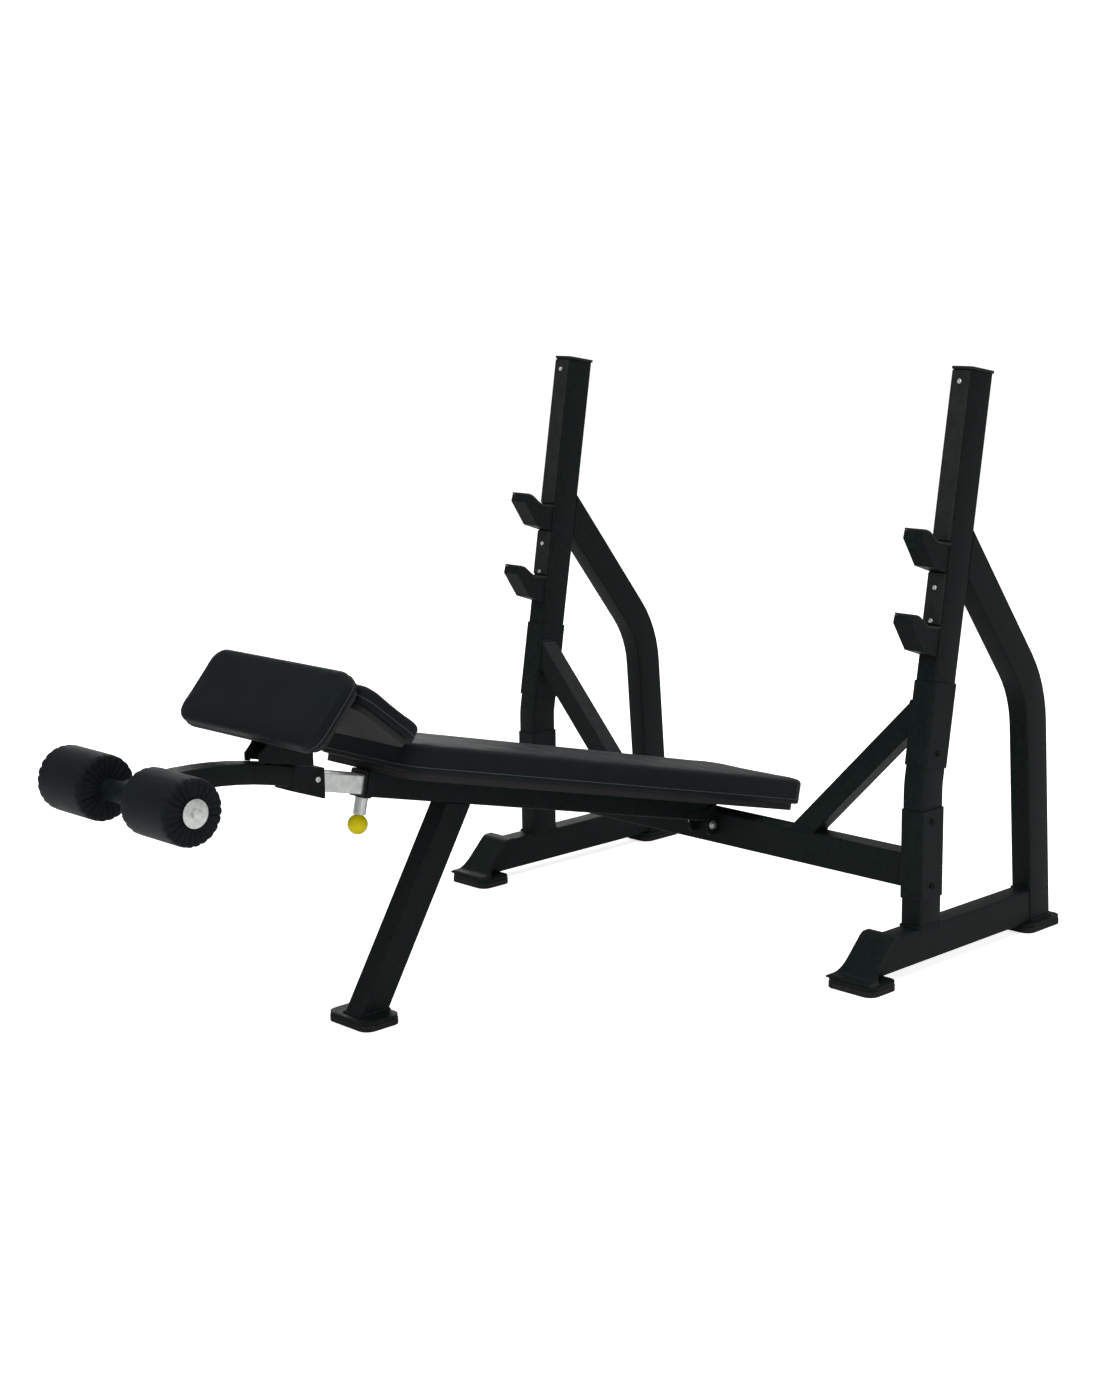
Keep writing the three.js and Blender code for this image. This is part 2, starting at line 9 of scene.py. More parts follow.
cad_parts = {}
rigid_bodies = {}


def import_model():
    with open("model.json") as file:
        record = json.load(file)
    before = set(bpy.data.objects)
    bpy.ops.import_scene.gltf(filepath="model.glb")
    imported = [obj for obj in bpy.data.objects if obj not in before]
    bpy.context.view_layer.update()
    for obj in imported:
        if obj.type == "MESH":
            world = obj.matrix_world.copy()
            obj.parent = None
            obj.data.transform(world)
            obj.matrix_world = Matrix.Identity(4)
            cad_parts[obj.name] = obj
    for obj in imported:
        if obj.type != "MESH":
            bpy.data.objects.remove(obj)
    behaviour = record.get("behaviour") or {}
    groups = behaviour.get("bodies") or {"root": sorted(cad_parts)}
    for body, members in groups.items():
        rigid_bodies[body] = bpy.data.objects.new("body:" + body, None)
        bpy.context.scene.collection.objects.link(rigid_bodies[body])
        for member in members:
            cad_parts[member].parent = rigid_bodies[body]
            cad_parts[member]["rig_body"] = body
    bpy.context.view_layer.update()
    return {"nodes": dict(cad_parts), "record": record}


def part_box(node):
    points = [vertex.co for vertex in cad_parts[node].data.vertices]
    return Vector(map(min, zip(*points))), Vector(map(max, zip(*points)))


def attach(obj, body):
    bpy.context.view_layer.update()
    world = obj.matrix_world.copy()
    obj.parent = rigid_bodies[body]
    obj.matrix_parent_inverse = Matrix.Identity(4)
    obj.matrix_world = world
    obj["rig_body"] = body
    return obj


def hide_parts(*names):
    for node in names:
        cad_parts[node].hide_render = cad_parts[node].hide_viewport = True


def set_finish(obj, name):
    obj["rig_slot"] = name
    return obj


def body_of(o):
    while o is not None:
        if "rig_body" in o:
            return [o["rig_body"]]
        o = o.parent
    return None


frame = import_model()
print("frame loaded")

# ---- where things are, in metres ----

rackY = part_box("right_upright")[0].y      # front face of the uprights, near the floor
sideX = 0.595                             # middle of a side frame
leanAngle = math.radians(9.6)             # the uprights lean back above their kink
declineAngle = math.radians(13.3)         # slope of the bench
uprightDeep = 0.075                       # an upright's tube, front to back
kinkHeight = 0.4                          # where the uprights start to lean
slopeHeight = 0.229                       # where the bench's slope meets their front faces
tubeIn, tubeOut = sideX - 0.025, sideX + 0.025    # the two sides of a side frame's tubes
leanUp = Vector((0, math.sin(leanAngle), math.cos(leanAngle)))
leanFront = Vector((0, -math.cos(leanAngle), math.sin(leanAngle)))
frameBody = "rack_and_bench"
holdBody = "leg_hold_down"
bothSides = (("left", -1), ("right", 1))


# a point on the leaning stretch: s along it from the kink, t forward of its front face
def leanPoint(x, t, s):
    half = uprightDeep / 2
    return Vector((x, rackY + half, kinkHeight)) + leanUp * s + leanFront * (t + half)


# from the bench's sloping frame to the room
slopeMatrix = Matrix.Translation((0, rackY, slopeHeight)) @ Matrix.Rotation(-declineAngle, 4, "X")


# ---- small helpers ----

def deselectAll():
    if bpy.context.object and bpy.context.object.mode != "OBJECT":
        bpy.ops.object.mode_set(mode="OBJECT")
    bpy.ops.object.select_all(action="DESELECT")


def makeActive(piece):
    deselectAll()
    piece.select_set(True)
    bpy.context.view_layer.objects.active = piece


def applyPlace(piece):
    makeActive(piece)
    bpy.ops.object.transform_apply(location=True, rotation=True, scale=True)


def applyModifiers(piece):
    makeActive(piece)
    for modifier in list(piece.modifiers):
        bpy.ops.object.modifier_apply(modifier=modifier.name)


def linkNew(name, data):
    piece = bpy.data.objects.new(name, data)
    bpy.context.scene.collection.objects.link(piece)
    return piece


# puts a piece drawn about the origin where the matrix says, with its place in its mesh
def placeMesh(piece, matrix):
    applyPlace(piece)
    piece.data.transform(matrix)


def smoothByAngle(piece, degrees=32):
    makeActive(piece)
    bpy.ops.object.shade_smooth_by_angle(angle=math.radians(degrees))


def finishPiece(piece, name, material, slotName, body):
    piece.name = name
    piece.data.name = name
    piece.data.materials.clear()
    piece.data.materials.append(material)
    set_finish(piece, slotName)
    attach(piece, body)
    return piece


def copyPiece(piece, name, matrix, body=None):
    twin = linkNew(name, piece.data.copy())
    twin.data.name = name
    twin.data.transform(matrix)
    if matrix.determinant() < 0:
        twin.data.flip_normals()
    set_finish(twin, piece["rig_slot"])
    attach(twin, body or body_of(piece)[0])
    return twin


# turns +Z to the given direction, about the given spot
def facing(spot, direction):
    return Matrix.Translation(spot) @ Vector(direction).to_track_quat("Z", "Y").to_matrix().to_4x4()


# ---- node helpers and shared groups ----

def addNode(tree, kind, inputs=None, **settings):
    node = tree.nodes.new(kind)
    for key, value in settings.items():
        setattr(node, key, value)
    for key, value in (inputs or {}).items():
        if isinstance(value, bpy.types.NodeSocket):
            tree.links.new(value, node.inputs[key])
        else:
            node.inputs[key].default_value = value
    return node


def newGroup(name, sockets, results):
    group = bpy.data.node_groups.new(name, "ShaderNodeTree")
    for label, kind, value in sockets:
        socket = group.interface.new_socket(name=label, in_out="INPUT", socket_type=kind)
        if value is not None:
            socket.default_value = value
    for label, kind in results:
        group.interface.new_socket(name=label, in_out="OUTPUT", socket_type=kind)
    return group, group.nodes.new("NodeGroupInput"), group.nodes.new("NodeGroupOutput")


# rubbed edges and painted edge highlights: where a rounded normal leaves the face's own, broken up by
# noise; the mask lightens these edges, partly as real wear and partly as a painted highlight
def buildEdgeWearAndHighlight():
    group, given, result = newGroup(
        "edgeWearAndHighlight",
        [("Radius", "NodeSocketFloat", 0.0015), ("Amount", "NodeSocketFloat", 0.6),
         ("Breakup", "NodeSocketFloat", 60)],
        [("Mask", "NodeSocketFloat"), ("Soft Normal", "NodeSocketVector")])
    soft = addNode(group, "ShaderNodeBevel", {"Radius": given.outputs["Radius"]}, samples=6)
    face = addNode(group, "ShaderNodeNewGeometry")
    turn = addNode(group, "ShaderNodeVectorMath", {0: soft.outputs[0], 1: face.outputs["True Normal"]},
                   operation="DOT_PRODUCT")
    edge = addNode(group, "ShaderNodeMapRange",
                   {"Value": turn.outputs["Value"], "From Min": 0.97, "From Max": 0.8})
    coords = addNode(group, "ShaderNodeTexCoord")
    noise = addNode(group, "ShaderNodeTexNoise",
                    {"Vector": coords.outputs["Object"], "Scale": given.outputs["Breakup"],
                     "Detail": 5, "Roughness": 0.65})
    patch = addNode(group, "ShaderNodeMapRange",
                    {"Value": noise.outputs["Fac"], "From Min": 0.42, "From Max": 0.66})
    both = addNode(group, "ShaderNodeMath", {0: edge.outputs[0], 1: patch.outputs[0]},
                   operation="MULTIPLY")
    final = addNode(group, "ShaderNodeMath", {0: both.outputs[0], 1: given.outputs["Amount"]},
                    operation="MULTIPLY", use_clamp=True)
    group.links.new(final.outputs[0], result.inputs["Mask"])
    group.links.new(soft.outputs[0], result.inputs["Soft Normal"])
    return group


# a faint film of dust and hand marks, as a mask
def buildDust():
    group, given, result = newGroup(
        "dustFilm",
        [("Scale", "NodeSocketFloat", 6), ("Amount", "NodeSocketFloat", 0.5)],
        [("Mask", "NodeSocketFloat")])
    coords = addNode(group, "ShaderNodeTexCoord")
    wide = addNode(group, "ShaderNodeTexNoise",
                   {"Vector": coords.outputs["Object"], "Scale": given.outputs["Scale"],
                    "Detail": 6, "Roughness": 0.6, "Distortion": 0.4})
    spots = addNode(group, "ShaderNodeTexNoise",
                    {"Vector": coords.outputs["Object"], "Scale": 210, "Detail": 2})
    spread = addNode(group, "ShaderNodeMapRange",
                     {"Value": wide.outputs["Fac"], "From Min": 0.4, "From Max": 0.75})
    specks = addNode(group, "ShaderNodeMapRange",
                     {"Value": spots.outputs["Fac"], "From Min": 0.45, "From Max": 0.75})
    mixed = addNode(group, "ShaderNodeMath", {0: spread.outputs[0], 1: specks.outputs[0]},
                    operation="MULTIPLY")
    final = addNode(group, "ShaderNodeMath", {0: mixed.outputs[0], 1: given.outputs["Amount"]},
                    operation="MULTIPLY", use_clamp=True)
    group.links.new(final.outputs[0], result.inputs["Mask"])
    return group


# two sizes of grain mixed into one height
def buildGrain():
    group, given, result = newGroup(
        "surfaceGrain",
        [("Fine", "NodeSocketFloat", 900), ("Coarse", "NodeSocketFloat", 120),
         ("Coarse Part", "NodeSocketFloat", 0.35)],
        [("Height", "NodeSocketFloat"), ("Tone", "NodeSocketFloat")])
    coords = addNode(group, "ShaderNodeTexCoord")
    fine = addNode(group, "ShaderNodeTexNoise",
                   {"Vector": coords.outputs["Object"], "Scale": given.outputs["Fine"], "Detail": 3})
    coarse = addNode(group, "ShaderNodeTexNoise",
                     {"Vector": coords.outputs["Object"], "Scale": given.outputs["Coarse"],
                      "Detail": 4})
    mixed = addNode(group, "ShaderNodeMix",
                    {"Factor": given.outputs["Coarse Part"],
                     2: fine.outputs["Fac"], 3: coarse.outputs["Fac"]})
    group.links.new(mixed.outputs[0], result.inputs["Height"])
    group.links.new(coarse.outputs["Fac"], result.inputs["Tone"])
    return group


edgeWearAndHighlight = buildEdgeWearAndHighlight()
dustFilm = buildDust()
surfaceGrain = buildGrain()


def useGroup(tree, group, **values):
    node = tree.nodes.new("ShaderNodeGroup")
    node.node_tree = group
    for key, value in values.items():
        node.inputs[key.replace("_", " ")].default_value = value
    return node


def newMaterial(name):
    material = bpy.data.materials.new(name)
    material.use_nodes = True
    tree = material.node_tree
    return material, tree, tree.nodes["Principled BSDF"]


def mixColours(tree, factor, first, second):
    node = addNode(tree, "ShaderNodeMix", data_type="RGBA")
    tree.links.new(factor, node.inputs["Factor"])
    for index, value in ((6, first), (7, second)):
        if isinstance(value, bpy.types.NodeSocket):
            tree.links.new(value, node.inputs[index])
        else:
            node.inputs[index].default_value = (*value, 1)
    return node.outputs[2]


def spreadValue(tree, value, low, high, fromLow=0.3, fromHigh=0.7):
    node = addNode(tree, "ShaderNodeMapRange",
                   {"From Min": fromLow, "From Max": fromHigh, "To Min": low, "To Max": high})
    tree.links.new(value, node.inputs["Value"])
    return node.outputs[0]


def addBump(tree, shader, strength, distance, height, normal=None):
    inputs = {"Strength": strength, "Distance": distance, "Height": height}
    if normal is not None:
        inputs["Normal"] = normal
    bump = addNode(tree, "ShaderNodeBump", inputs)
    tree.links.new(bump.outputs[0], shader.inputs["Normal"])


# ---- materials ----

# the lightest colour here goes on the edges through the edge mask: partly real wear, partly a painted
# highlight along the edges
powderLook = {"dark": (0.0040, 0.0072, 0.0070), "light": (0.0072, 0.0114, 0.0110),
              "wornAndHighlit": (0.034, 0.046, 0.046), "dust": (0.022, 0.027, 0.027),
              "roughLow": 0.40, "roughHigh": 0.54, "bump": 0.00009}


def makePowderCoat():
    material, tree, shader = newMaterial("powderCoat")
    look = powderLook
    grain = useGroup(tree, surfaceGrain, Fine=1500, Coarse=90, Coarse_Part=0.2)
    wearAndHighlight = useGroup(tree, edgeWearAndHighlight, Radius=0.0016, Amount=0.55, Breakup=38)
    dust = useGroup(tree, dustFilm, Scale=5, Amount=0.28)
    tone = mixColours(tree, spreadValue(tree, grain.outputs["Tone"], 0, 1), look["dark"], look["light"])
    dusty = mixColours(tree, dust.outputs["Mask"], tone, look["dust"])
    # lighter edges: real wear and painted edge highlight together
    wornAndHighlit = mixColours(tree, wearAndHighlight.outputs["Mask"], dusty, look["wornAndHighlit"])
    tree.links.new(wornAndHighlit, shader.inputs["Base Color"])
    rough = spreadValue(tree, grain.outputs["Tone"], look["roughLow"], look["roughHigh"])
    tree.links.new(rough, shader.inputs["Roughness"])
    addBump(tree, shader, 0.8, look["bump"], grain.outputs["Height"], wearAndHighlight.outputs["Soft Normal"])
    shader.inputs["Specular IOR Level"].default_value = 0.07
    return material


# the darkest colour here is painted shade for the grain's valleys
vinylLook = {"dark": (0.0042, 0.0078, 0.0090), "light": (0.0076, 0.0128, 0.0146),
             "valleyShade": (0.0015, 0.002, 0.003), "dust": (0.05, 0.055, 0.06),
             "roughLow": 0.42, "roughHigh": 0.56, "cells": 620, "bump": 0.00022}


def makeVinyl():
    material, tree, shader = newMaterial("padVinyl")
    look = vinylLook
    coords = addNode(tree, "ShaderNodeTexCoord")
    cells = addNode(tree, "ShaderNodeTexVoronoi",
                    {"Vector": coords.outputs["Object"], "Scale": look["cells"], "Randomness": 0.9},
                    feature="DISTANCE_TO_EDGE")
    grain = useGroup(tree, surfaceGrain, Fine=420, Coarse=14, Coarse_Part=0.3)
    dust = useGroup(tree, dustFilm, Scale=4, Amount=0.12)
    pores = spreadValue(tree, cells.outputs["Distance"], 0, 1, 0.0, 0.14)
    tone = mixColours(tree, spreadValue(tree, grain.outputs["Tone"], 0, 1), look["dark"], look["light"])
    # the grain's valleys, at the cell edges, are painted darker as shade
    poreShaded = mixColours(tree, pores, look["valleyShade"], tone)
    dusty = mixColours(tree, dust.outputs["Mask"], poreShaded, look["dust"])
    tree.links.new(dusty, shader.inputs["Base Color"])
    rough = spreadValue(tree, grain.outputs["Tone"], look["roughLow"], look["roughHigh"])
    tree.links.new(rough, shader.inputs["Roughness"])
    height = addNode(tree, "ShaderNodeMath", {0: pores, 1: grain.outputs["Height"]}, operation="ADD")
    addBump(tree, shader, 0.7, look["bump"], height.outputs[0])
    shader.inputs["Specular IOR Level"].default_value = 0.09
    return material


def makeThread():
    material, tree, shader = newMaterial("seamThread")
    coords = addNode(tree, "ShaderNodeTexCoord")
    twist = addNode(tree, "ShaderNodeTexWave",
                    {"Vector": coords.outputs["Object"], "Scale": 260, "Distortion": 1.5})
    tone = mixColours(tree, twist.outputs["Fac"], (0.009, 0.011, 0.014), (0.032, 0.037, 0.043))
    tree.links.new(tone, shader.inputs["Base Color"])
    addBump(tree, shader, 0.6, 0.0003, twist.outputs["Fac"])
    shader.inputs["Roughness"].default_value = 0.55
    return material


def makeRubber():
    material, tree, shader = newMaterial("footRubber")
    grain = useGroup(tree, surfaceGrain, Fine=800, Coarse=60, Coarse_Part=0.4)
    dust = useGroup(tree, dustFilm, Scale=14, Amount=0.6)
    tone = mixColours(tree, spreadValue(tree, grain.outputs["Tone"], 0, 1),
                      (0.006, 0.006, 0.006), (0.014, 0.014, 0.014))
    dusty = mixColours(tree, dust.outputs["Mask"], tone, (0.06, 0.058, 0.055))
    tree.links.new(dusty, shader.inputs["Base Color"])
    shader.inputs["Specular IOR Level"].default_value = 0.2
    tree.links.new(spreadValue(tree, grain.outputs["Height"], 0.72, 0.9), shader.inputs["Roughness"])
    addBump(tree, shader, 0.8, 0.0003, grain.outputs["Height"])
    return material


def makePlastic():
    material, tree, shader = newMaterial("mouldedPlastic")
    grain = useGroup(tree, surfaceGrain, Fine=1100, Coarse=45, Coarse_Part=0.3)
    wearAndHighlight = useGroup(tree, edgeWearAndHighlight, Radius=0.0012, Amount=0.5, Breakup=70)
    tone = mixColours(tree, spreadValue(tree, grain.outputs["Tone"], 0, 1),
                      (0.008, 0.009, 0.0095), (0.015, 0.0165, 0.017))
    # lighter edges through the edge mask: partly real wear, partly a painted highlight along the edges
    wornAndHighlit = mixColours(tree, wearAndHighlight.outputs["Mask"], tone, (0.05, 0.055, 0.058))
    tree.links.new(wornAndHighlit, shader.inputs["Base Color"])
    shader.inputs["Specular IOR Level"].default_value = 0.2
    tree.links.new(spreadValue(tree, grain.outputs["Tone"], 0.42, 0.6), shader.inputs["Roughness"])
    addBump(tree, shader, 0.7, 0.00015, grain.outputs["Height"], wearAndHighlight.outputs["Soft Normal"])
    return material


def makeZinc():
    material, tree, shader = newMaterial("zincPlate")
    coords = addNode(tree, "ShaderNodeTexCoord")
    stretch = addNode(tree, "ShaderNodeMapping",
                      {"Vector": coords.outputs["Object"], "Scale": (1, 0.06, 1)})
    lines = addNode(tree, "ShaderNodeTexNoise",
                    {"Vector": stretch.outputs[0], "Scale": 900, "Detail": 3})
    cloud = addNode(tree, "ShaderNodeTexNoise",
                    {"Vector": coords.outputs["Object"], "Scale": 70, "Detail": 5})
    wearAndHighlight = useGroup(tree, edgeWearAndHighlight, Radius=0.0008, Amount=0.5, Breakup=90)
    tone = mixColours(tree, spreadValue(tree, cloud.outputs["Fac"], 0, 1),
                      (0.50, 0.53, 0.51), (0.70, 0.73, 0.70))
    # brighter edges through the edge mask: partly real wear, partly a painted highlight along the edges
    wornAndHighlit = mixColours(tree, wearAndHighlight.outputs["Mask"], tone, (0.85, 0.86, 0.85))
    tree.links.new(wornAndHighlit, shader.inputs["Base Color"])
    tree.links.new(spreadValue(tree, lines.outputs["Fac"], 0.28, 0.46), shader.inputs["Roughness"])
    shader.inputs["Metallic"].default_value = 0.9
    addBump(tree, shader, 0.4, 0.0001, lines.outputs["Fac"], wearAndHighlight.outputs["Soft Normal"])
    return material


def makeYellow():
    material, tree, shader = newMaterial("yellowBall")
    grain = useGroup(tree, surfaceGrain, Fine=300, Coarse=50, Coarse_Part=0.6)
    dust = useGroup(tree, dustFilm, Scale=40, Amount=0.5)
    tone = mixColours(tree, spreadValue(tree, grain.outputs["Tone"], 0, 1),
                      (0.60, 0.50, 0.002), (0.72, 0.61, 0.004))
    dusty = mixColours(tree, dust.outputs["Mask"], tone, (0.45, 0.38, 0.01))
    tree.links.new(dusty, shader.inputs["Base Color"])
    tree.links.new(spreadValue(tree, grain.outputs["Tone"], 0.24, 0.36), shader.inputs["Roughness"])
    shader.inputs["Specular IOR Level"].default_value = 0.15
    addBump(tree, shader, 0.3, 0.0002, grain.outputs["Height"])
    return material


def makePlywood():
    material, tree, shader = newMaterial("boardCloth")
    coords = addNode(tree, "ShaderNodeTexCoord")
    along, across = (
        addNode(tree, "ShaderNodeTexWave",
                {"Vector": coords.outputs["Object"], "Scale": 160, "Distortion": 0.6},
                bands_direction=way)
        for way in ("X", "Y"))
    woven = addNode(tree, "ShaderNodeMath", {0: along.outputs["Fac"], 1: across.outputs["Fac"]},
                    operation="MULTIPLY")
    tone = mixColours(tree, woven.outputs[0], (0.004, 0.004, 0.005), (0.018, 0.018, 0.02))
    tree.links.new(tone, shader.inputs["Base Color"])
    addBump(tree, shader, 0.8, 0.0004, woven.outputs[0])
    shader.inputs["Roughness"].default_value = 0.85
    return material


looks = {"powder_coat": makePowderCoat(), "vinyl": makeVinyl(), "rubber": makeRubber(),
         "plastic": makePlastic(), "plywood": makePlywood(), "zinc": makeZinc(),
         "yellow_ball": makeYellow()}
seamThread = makeThread()

slotOf = {entry["node"]: entry["material_slot"] for entry in frame["record"]["subparts"]}
for nodeName, cadPiece in frame["nodes"].items():
    cadPiece.data.materials.clear()
    cadPiece.data.materials.append(looks[slotOf[nodeName]])
print("materials made")


# ---- camera, floor and lights ----

cameraSpot = {"place": (3.326235, -3.650696 + rackY, 1.482926),
              "azimuth": 46.161, "elevation": 11.267, "roll": -0.851,
              "film": 36, "lens": 56.4307714, "shiftX": 0.0002, "shiftY": 0.0047}


def makeCamera():
    spot = cameraSpot
    azimuth, elevation, roll = (math.radians(spot[key]) for key in ("azimuth", "elevation", "roll"))
    flat = math.cos(elevation)
    ahead = Vector((-math.sin(azimuth) * flat, math.cos(azimuth) * flat, -math.sin(elevation)))
    level = Vector((math.cos(azimuth), math.sin(azimuth), 0))
    above = level.cross(ahead)
    right = level * math.cos(roll) + above * math.sin(roll)
    up = above * math.cos(roll) - level * math.sin(roll)
    lens = bpy.data.cameras.new("sceneCamera")
    lens.sensor_width = spot["film"]
    lens.lens = spot["lens"]
    lens.shift_x, lens.shift_y = spot["shiftX"], spot["shiftY"]
    camera = linkNew("sceneCamera", lens)
    turn = Matrix((right, up, -ahead)).transposed().to_4x4()
    camera.matrix_world = Matrix.Translation(spot["place"]) @ turn
    bpy.context.scene.camera = camera


floorStyle = {"size": 60, "below": -0.0005, "tone": 0.93, "rough": 0.9, "glow": 0.72}


def makeFloor():
    style = floorStyle
    deselectAll()
    bpy.ops.mesh.primitive_plane_add(size=style["size"], location=(0, 0, style["below"]))
    floor = bpy.context.object
    floor.name = "floor"
    material, tree, shader = newMaterial("paleFloor")
    shader.inputs["Base Color"].default_value = (style["tone"],) * 3 + (1,)
    shader.inputs["Roughness"].default_value = style["rough"]
    shader.inputs["Emission Color"].default_value = (1, 1, 1, 1)
    # it glows to the eye only, and lights nothing
    path = addNode(tree, "ShaderNodeLightPath")
    glow = addNode(tree, "ShaderNodeMath", {0: path.outputs["Is Camera Ray"], 1: style["glow"]},
                   operation="MULTIPLY")
    tree.links.new(glow.outputs[0], shader.inputs["Emission Strength"])
    floor.data.materials.append(material)


# softboxes: (name, place, aimed at, size, watts)
softboxes = [
    ("keyLight", (1.2, -5.2, 4.6), (0, 0, 0.5), 3.2, 150),
    ("fillLight", (5.6, -1.2, 2.6), (0, 0.2, 0.6), 3.0, 60),
    ("topLight", (0, 0.3, 5.6), (0, 0.1, 0), 4.0, 105),
    ("rimLight", (-4.8, 3.6, 3.2), (0, 0.4, 0.7), 3.0, 80),
    ("backLight", (1.0, 4.8, 4.4), (0, 0.4, 0.5), 2.0, 70),
]
backdrop = {"seen": 1.0, "cast": 0.36}    # white to the eye, and dimmer as a light


def makeLights():
    for name, place, aim, size, watts in softboxes:
        lamp = bpy.data.lights.new(name, "AREA")
        lamp.shape = "SQUARE"
        lamp.size = size
        lamp.energy = watts
        holder = linkNew(name, lamp)
        holder.location = place
        holder.rotation_euler = (Vector(aim) - Vector(place)).to_track_quat("-Z", "Y").to_euler()
    world = bpy.data.worlds.new("studio")
    world.use_nodes = True
    tree = world.node_tree
    background = tree.nodes["Background"]
    background.inputs["Color"].default_value = (1, 1, 1, 1)
    path = addNode(tree, "ShaderNodeLightPath")
    level = addNode(tree, "ShaderNodeMapRange",
                    {"Value": path.outputs["Is Camera Ray"],
                     "To Min": backdrop["cast"], "To Max": backdrop["seen"]})
    tree.links.new(level.outputs[0], background.inputs["Strength"])
    bpy.context.scene.world = world
    bpy.context.scene.view_settings.view_transform = "Standard"


makeCamera()
makeFloor()
makeLights()
print("camera and lights made")


# ---- welded steel: copies of the bent parts with smooth bends ----

def smoothCopy(node):
    piece = linkNew(node + "_shown", frame["nodes"][node].data.copy())
    makeActive(piece)
    bpy.ops.object.mode_set(mode="EDIT")
    bpy.ops.mesh.select_all(action="SELECT")
    bpy.ops.mesh.remove_doubles(threshold=0.00002)
    bpy.ops.mesh.dissolve_limited(angle_limit=math.radians(0.4))
    bpy.ops.object.mode_set(mode="OBJECT")
    if piece.data.has_custom_normals:
        bpy.ops.mesh.customdata_custom_splitnormals_clear()
    smoothByAngle(piece, 28)
    body = frame["nodes"][node]["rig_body"]
    finishPiece(piece, node + "_shown", looks[slotOf[node]], slotOf[node], body)
    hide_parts(node)


for side in ("left", "right"):
    for part in ("upright", "rear_brace", "front_foot_bracket", "base_rail"):
        smoothCopy(f"{side}_{part}")
for node in ("roller_arm", "roller_axle", "pin_housing", "pin_plunger"):
    smoothCopy(node)
print("bent steel smoothed")


# ---- weld beads ----

weldLook = {"radius": 0.0032, "ripple": 0.0045, "depth": 0.14}


# a rippled bead along a line of corners
def makeWeld(name, corners, body, closed=True):
    curve = bpy.data.curves.new(name, "CURVE")
    curve.dimensions = "3D"
    curve.bevel_depth = weldLook["radius"]
    curve.bevel_resolution = 2
    curve.use_fill_caps = True
    spline = curve.splines.new("POLY")
    places = []
    loop = list(corners) + ([corners[0]] if closed else [])
    for first, second in zip(loop, loop[1:]):
        first, second = Vector(first), Vector(second)
        steps = max(2, round((second - first).length / (weldLook["ripple"] / 2)))
        places += [first.lerp(second, k / steps) for k in range(steps)]
    if not closed:
        places.append(Vector(loop[-1]))
    spline.points.add(len(places) - 1)
    for k, place in enumerate(places):
        spline.points[k].co = (*place, 1)
        spline.points[k].radius = 1 - weldLook["depth"] * (k % 2)
    spline.use_cyclic_u = closed
    makeActive(linkNew(name, curve))
    bpy.ops.object.convert(target="MESH")
    piece = bpy.context.object
    smoothByAngle(piece, 60)
    return finishPiece(piece, name, looks["powder_coat"], "powder_coat", body)


def weldPair(name, corners, closed=True):
    piece = makeWeld("right_" + name, corners, frameBody, closed)
    copyPiece(piece, "left_" + name, Matrix.Diagonal((-1, 1, 1, 1)))


def flatLoop(x0, x1, y0, y1, z):
    return [(x0, y0, z), (x1, y0, z), (x1, y1, z), (x0, y1, z)]


# the weld lines, where they are not told by a piece's own box
weldPlaces = {"lift": 0.001, "braceFront": 0.4155, "railLow": 0.024, "railSlant": 0.005,
              "strutFootLong": 0.0698, "strutDeep": 0.050, "strutSlant": 0.003, "strutDrop": 0.070,
              "legFootDeep": 0.076, "catchOut": 0.0255, "catchLow": 0.083, "catchHigh": 0.026}
catchLips = {"upper": 0.535, "lower": 0.359}


def makeFootWelds():
    lift = weldPlaces["lift"]
    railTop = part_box("right_base_rail")[1].z
    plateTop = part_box("right_rear_foot_plate")[1].z
    uprightBack = rackY + uprightDeep
    weldPair("weld_upright_foot", flatLoop(tubeIn, tubeOut, rackY, uprightBack, railTop + lift))
    braceFront, braceBack = rackY + weldPlaces["braceFront"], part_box("right_rear_brace")[1].y
    weldPair("weld_brace_foot", flatLoop(tubeIn, tubeOut, braceFront, braceBack, plateTop + lift))
    railEnd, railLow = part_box("right_base_rail")[1].y, weldPlaces["railLow"]
    upperEnd = railEnd - weldPlaces["railSlant"]
    weldPair("weld_rail_end", [(tubeIn, railEnd, railLow), (tubeIn, upperEnd, railTop),
                               (tubeOut, upperEnd, railTop), (tubeOut, railEnd, railLow)], closed=False)


def makeBeamWelds():
    lift = weldPlaces["lift"]
    low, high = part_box("cross_beam")
    weldPair("weld_beam_end", [(high.x, low.y, low.z), (high.x, low.y, high.z),
                               (high.x, high.y, high.z), (high.x, high.y, low.z)])
    strutLow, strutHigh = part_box("right_diagonal_brace")
    footEnd = strutLow.x + weldPlaces["strutFootLong"]
    weldPair("weld_strut_foot", flatLoop(strutLow.x, footEnd, low.y, high.y, high.z + lift))
    x, back, top = strutHigh
    front, under = back - weldPlaces["strutDeep"], top - weldPlaces["strutDrop"]
    slant = weldPlaces["strutSlant"]
    weldPair("weld_strut_head", [(x, front - slant, under), (x, front, top - lift),
                                 (x, back, top - lift), (x, back - slant, under)])


def makeLegWeld():
    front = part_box("front_leg")[0].y
    back = front + weldPlaces["legFootDeep"]
    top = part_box("right_rear_foot_plate")[1].z + weldPlaces["lift"]
    half = (tubeOut - tubeIn) / 2
    makeWeld("weld_leg_foot", flatLoop(-half, half, front, back, top), frameBody)


